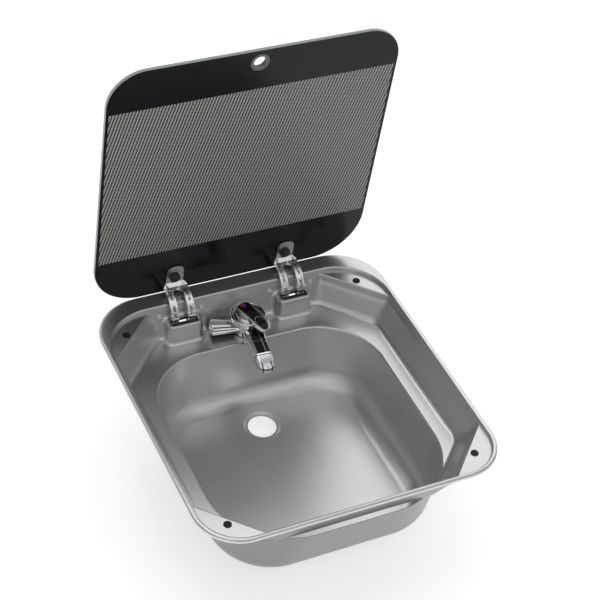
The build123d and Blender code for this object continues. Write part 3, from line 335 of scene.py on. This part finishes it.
def arm_painted_shade_and_reflection(reach, side, depth):
    """Painted reflection lines that fan out along the side arm, and painted shade on its underside.
    """
    radius = ARM_RADIUS + ARM_FLARE * reach
    height = (ARM_DEPTH - ARM_RISE * reach - depth) / radius
    # Dark underside: painted shade. The dark lines added below it are painted reflections.
    dark = height.fade(*ARM_UNDERSIDE_SHADE_SOFT)
    for level, soft in ARM_REFLECTION_LINES:
        dark = dark.at_least(abs(height - level).fade(*soft))
    return (reach > ARM_START) * dark


def strap_chrome():
    """Ribbed arms with painted reflection, dark along their middles and bright at their sides and
    in patches, a duller tab, and painted shade on the hub below the boss's top.
    """
    chrome = Finish("strap_chrome", Metallic=1.0)
    across, along, height = chrome.split(chrome.moved(LID_TURN, LID_SHIFT))
    arm = abs(abs(abs(across) - HINGE_X) - STRAP_ARM_OFFSET)
    # Bright and dark on the arms, set by noise and by distance from their middles: painted
    # reflection.
    reflection_patches = chrome.noise(160.0, 1.0).fade(0.35, 0.65)
    highlight_streak = arm.fade(0.6, 3.2).at_least(reflection_patches)
    bright = chrome.mix(highlight_streak, grey(0.22), grey(0.95))
    tab = (along < TAB_END - PIVOT_Y) * (height > TAB_LOW)
    # Near-black hub below the boss's top: painted shade.
    hub_painted_shade = chrome.split(chrome.moved(NO_MOVE, NO_MOVE))[2] < INSERT_TOP - 1.0
    shown = chrome.mix(tab, bright, TAB_GREY)
    chrome.set("Base Color", chrome.mix(hub_painted_shade, shown, grey(0.03)))
    chrome.set("Roughness", 0.05 + 0.12 * tab + 0.3 * hub_painted_shade)
    return chrome.material


def bright_screw():
    screw = Finish("bright_screw_steel", Metallic=0.75)
    grain = screw.noise(700.0)
    screw.set("Base Color", screw.mix(grain, grey(0.8), grey(0.95)))
    screw.set("Roughness", 0.15 + 0.1 * grain)
    return screw.material


def turned_brass():
    brass = Finish("turned_brass", Metallic=1.0)
    grain = brass.noise(500.0)
    brass.set("Base Color", brass.mix(grain, (0.55, 0.38, 0.14, 1), (0.68, 0.5, 0.22, 1)))
    brass.set("Roughness", 0.25 + 0.15 * grain)
    return brass.material


def soft_rubber():
    rubber = Finish("black_rubber", Specular_IOR_Level=0.35)
    grain = rubber.noise(1200.0)
    rubber.set("Base Color", rubber.mix(grain, grey(0.012), grey(0.022)))
    rubber.set("Roughness", 0.6 + 0.15 * grain)
    rubber.bump(grain, 0.1, 0.0002)
    return rubber.material


def moulded_plastic(name, dark, light, rough):
    plastic = Finish(name)
    grain = plastic.noise(900.0)
    plastic.set("Base Color", plastic.mix(grain, dark, light))
    plastic.set("Roughness", rough + 0.08 * grain)
    plastic.bump(grain, 0.06, 0.0002)
    return plastic.material


def printed_glass():
    """Toughened glass with a black print, a field of fine light dots and a ground edge, painted
    dark as shade near the hinge end.
    """
    glass = Finish("printed_glass", Specular_IOR_Level=0.2, IOR=1.5)
    across, along, height = glass.split(glass.moved(LID_TURN, LID_SHIFT))
    side = abs(across)

    def past_edge(corner, end, sign):
        """Distance past an outline whose corners are rounded at one end."""
        dx = (side - (GLASS_HALF - corner)).at_least(0.0)
        dy = (sign * (along - end) + corner).at_least(0.0)
        return (dx * dx + dy * dy).root() - corner

    finger_end = past_edge(GLASS_CORNER_FINGER, GLASS_FRONT - PIVOT_Y, -1.0)
    hinge_end = past_edge(GLASS_CORNER_HINGE, GLASS_BACK - PIVOT_Y, 1.0)
    border = finger_end.at_least(hinge_end)
    from_hinge = GLASS_BACK - PIVOT_Y - along
    row = (ROWS_PER_MM[0] * across + ROWS_PER_MM[1] * along) * math.tau
    rank = (RANKS_PER_MM[0] * across + RANKS_PER_MM[1] * along) * math.tau
    dots = (row.cosine() + RANK_SHARE * rank.cosine()).fade(*DOT_SOFT)
    dotted = (border < FIELD_EDGE) * from_hinge.between(*FIELD_ENDS) * dots
    edge = border > GROUND_EDGE
    printed = glass.mix(dotted, BLACK_PRINT_AND_PAINTED_REFLECTION, DOT_GREY)
    # Ground edge: dark near the hinge end as painted shade, and its own lighter colour further on.
    ground_edge_with_shade = glass.mix(from_hinge.fade(*GROUND_SOFT), GROUND_PAINTED_SHADE, GROUND_LIGHT)
    glass.set("Base Color", glass.mix(edge, printed, ground_edge_with_shade))
    glass.set("Roughness", 0.18 + 0.25 * dotted + 0.2 * edge)
    return glass.material


RED = ((0.45, 0.01, 0.015, 1), (0.5, 0.015, 0.02, 1))
BLUE = ((0.02, 0.09, 0.5, 1), (0.03, 0.11, 0.55, 1))

# The finish of each material slot, and of single pieces in place of their slot's.
FINISH = {
    "stainless": satin_steel(),
    "rubber_black": soft_rubber(),
    "black_glass": printed_glass(),
    "plastic_grey": moulded_plastic("grey_plastic", grey(0.10), grey(0.14), 0.35),
    "plastic_black": moulded_plastic("black_plastic", grey(0.012), grey(0.02), 0.35),
    "plastic_red": moulded_plastic("red_mark", *RED, 0.2),
    "plastic_blue": moulded_plastic("blue_mark", *BLUE, 0.2),
    "chrome": plated_chrome("plated_chrome")[0].material,
    "screw_steel": bright_screw(),
    "brass": turned_brass(),
}

STRAP_FINISH = strap_chrome()
NODE_FINISH = {
    "lever": chrome_with_painted_dark("lever_chrome", LEVER_HEADING, lever_painted_reflection),
    "spout": chrome_with_painted_dark("spout_chrome", SPOUT_HEADING, spout_painted_reflection),
    "tap_body": chrome_with_painted_dark("arm_chrome", ARM_HEADING, arm_painted_shade_and_reflection),
    "hinge_strap_left": STRAP_FINISH,
    "hinge_strap_right": STRAP_FINISH,
}

slots = {part["node"]: part["material_slot"] for part in frame["record"]["subparts"]}
for name, node in frame["nodes"].items():
    for slot in node.material_slots:
        slot.material = NODE_FINISH.get(name, FINISH[slots[name]])

# --- floor, in metres ----------------------------------------------------------------------------
FLOOR_SIZE = 12.0
FLOOR_HEIGHT = -0.16

bpy.ops.object.select_all(action="DESELECT")
bpy.ops.mesh.primitive_plane_add(size=FLOOR_SIZE, location=(0, 0, FLOOR_HEIGHT))
floor = bpy.context.object
floor.name = "floor"
paper = Finish("pale_floor", Roughness=0.9, Specular_IOR_Level=0.1, Emission_Strength=0.55)
paper.set("Base Color", grey(0.85))
paper.set("Emission Color", grey(1.0))
floor.data.materials.append(paper.material)

# --- soft light ----------------------------------------------------------------------------------
# Each lamp has a heading from the front to the right, a height above the floor and a half-width,
# in degrees, and a brightness. It is full over the inner share of its half-width.
SKY_BASE = 0.18
FULL_SHARE = 0.3
SKY = {
    "front_right": (45, 20, 40, 0.30),
    "back_right": (135, 20, 40, 0.85),
    "front_left": (315, 20, 40, 0.35),
    "front_high": (0, 60, 35, 0.50),
    "right_high": (90, 60, 35, 0.20),
    "back_high": (180, 60, 35, 1.30),
    "left_high": (270, 60, 35, 0.30),
}

studio = bpy.data.worlds.new("studio")
bpy.context.scene.world = studio
studio.use_nodes = True
sky = Nodes(studio.node_tree)
toward = sky.node("ShaderNodeTexCoord", "Generated", {}, {})
brightness = SKY_BASE
for heading, height, spread, strength in SKY.values():
    heading, height, spread = (math.radians(angle) for angle in (heading, height, spread))
    aim = (
        math.sin(heading) * math.cos(height),
        -math.cos(heading) * math.cos(height),
        math.sin(height),
    )
    dot = {"operation": "DOT_PRODUCT"}
    facing = sky.node("ShaderNodeVectorMath", "Value", dot, {0: toward, 1: aim})
    lamp = facing.fade(math.cos(spread), math.cos(FULL_SHARE * spread))
    brightness = brightness + strength * lamp
background = studio.node_tree.nodes["Background"]
background.inputs["Color"].default_value = LAMP_WHITE
sky.feed(background.inputs["Strength"], brightness)

# --- camera, at the photograph's angle -----------------------------------------------------------
CAMERA_PLACE = (-0.79813, -1.34485, 1.58252)
CAMERA_TURN = (47.287, -5.998, -24.906)
CAMERA_LENS = 101.85
CAMERA_SENSOR = 36.0
CAMERA_REACH = 50.0

camera_data = bpy.data.cameras.new("photo_view")
camera_data.sensor_width = CAMERA_SENSOR
camera_data.lens = CAMERA_LENS
camera_data.clip_end = CAMERA_REACH
camera = bpy.data.objects.new("photo_view", camera_data)
camera.location = CAMERA_PLACE
camera.rotation_euler = [math.radians(angle) for angle in CAMERA_TURN]
bpy.context.collection.objects.link(camera)
bpy.context.scene.camera = camera

bpy.context.scene.view_settings.view_transform = "Standard"
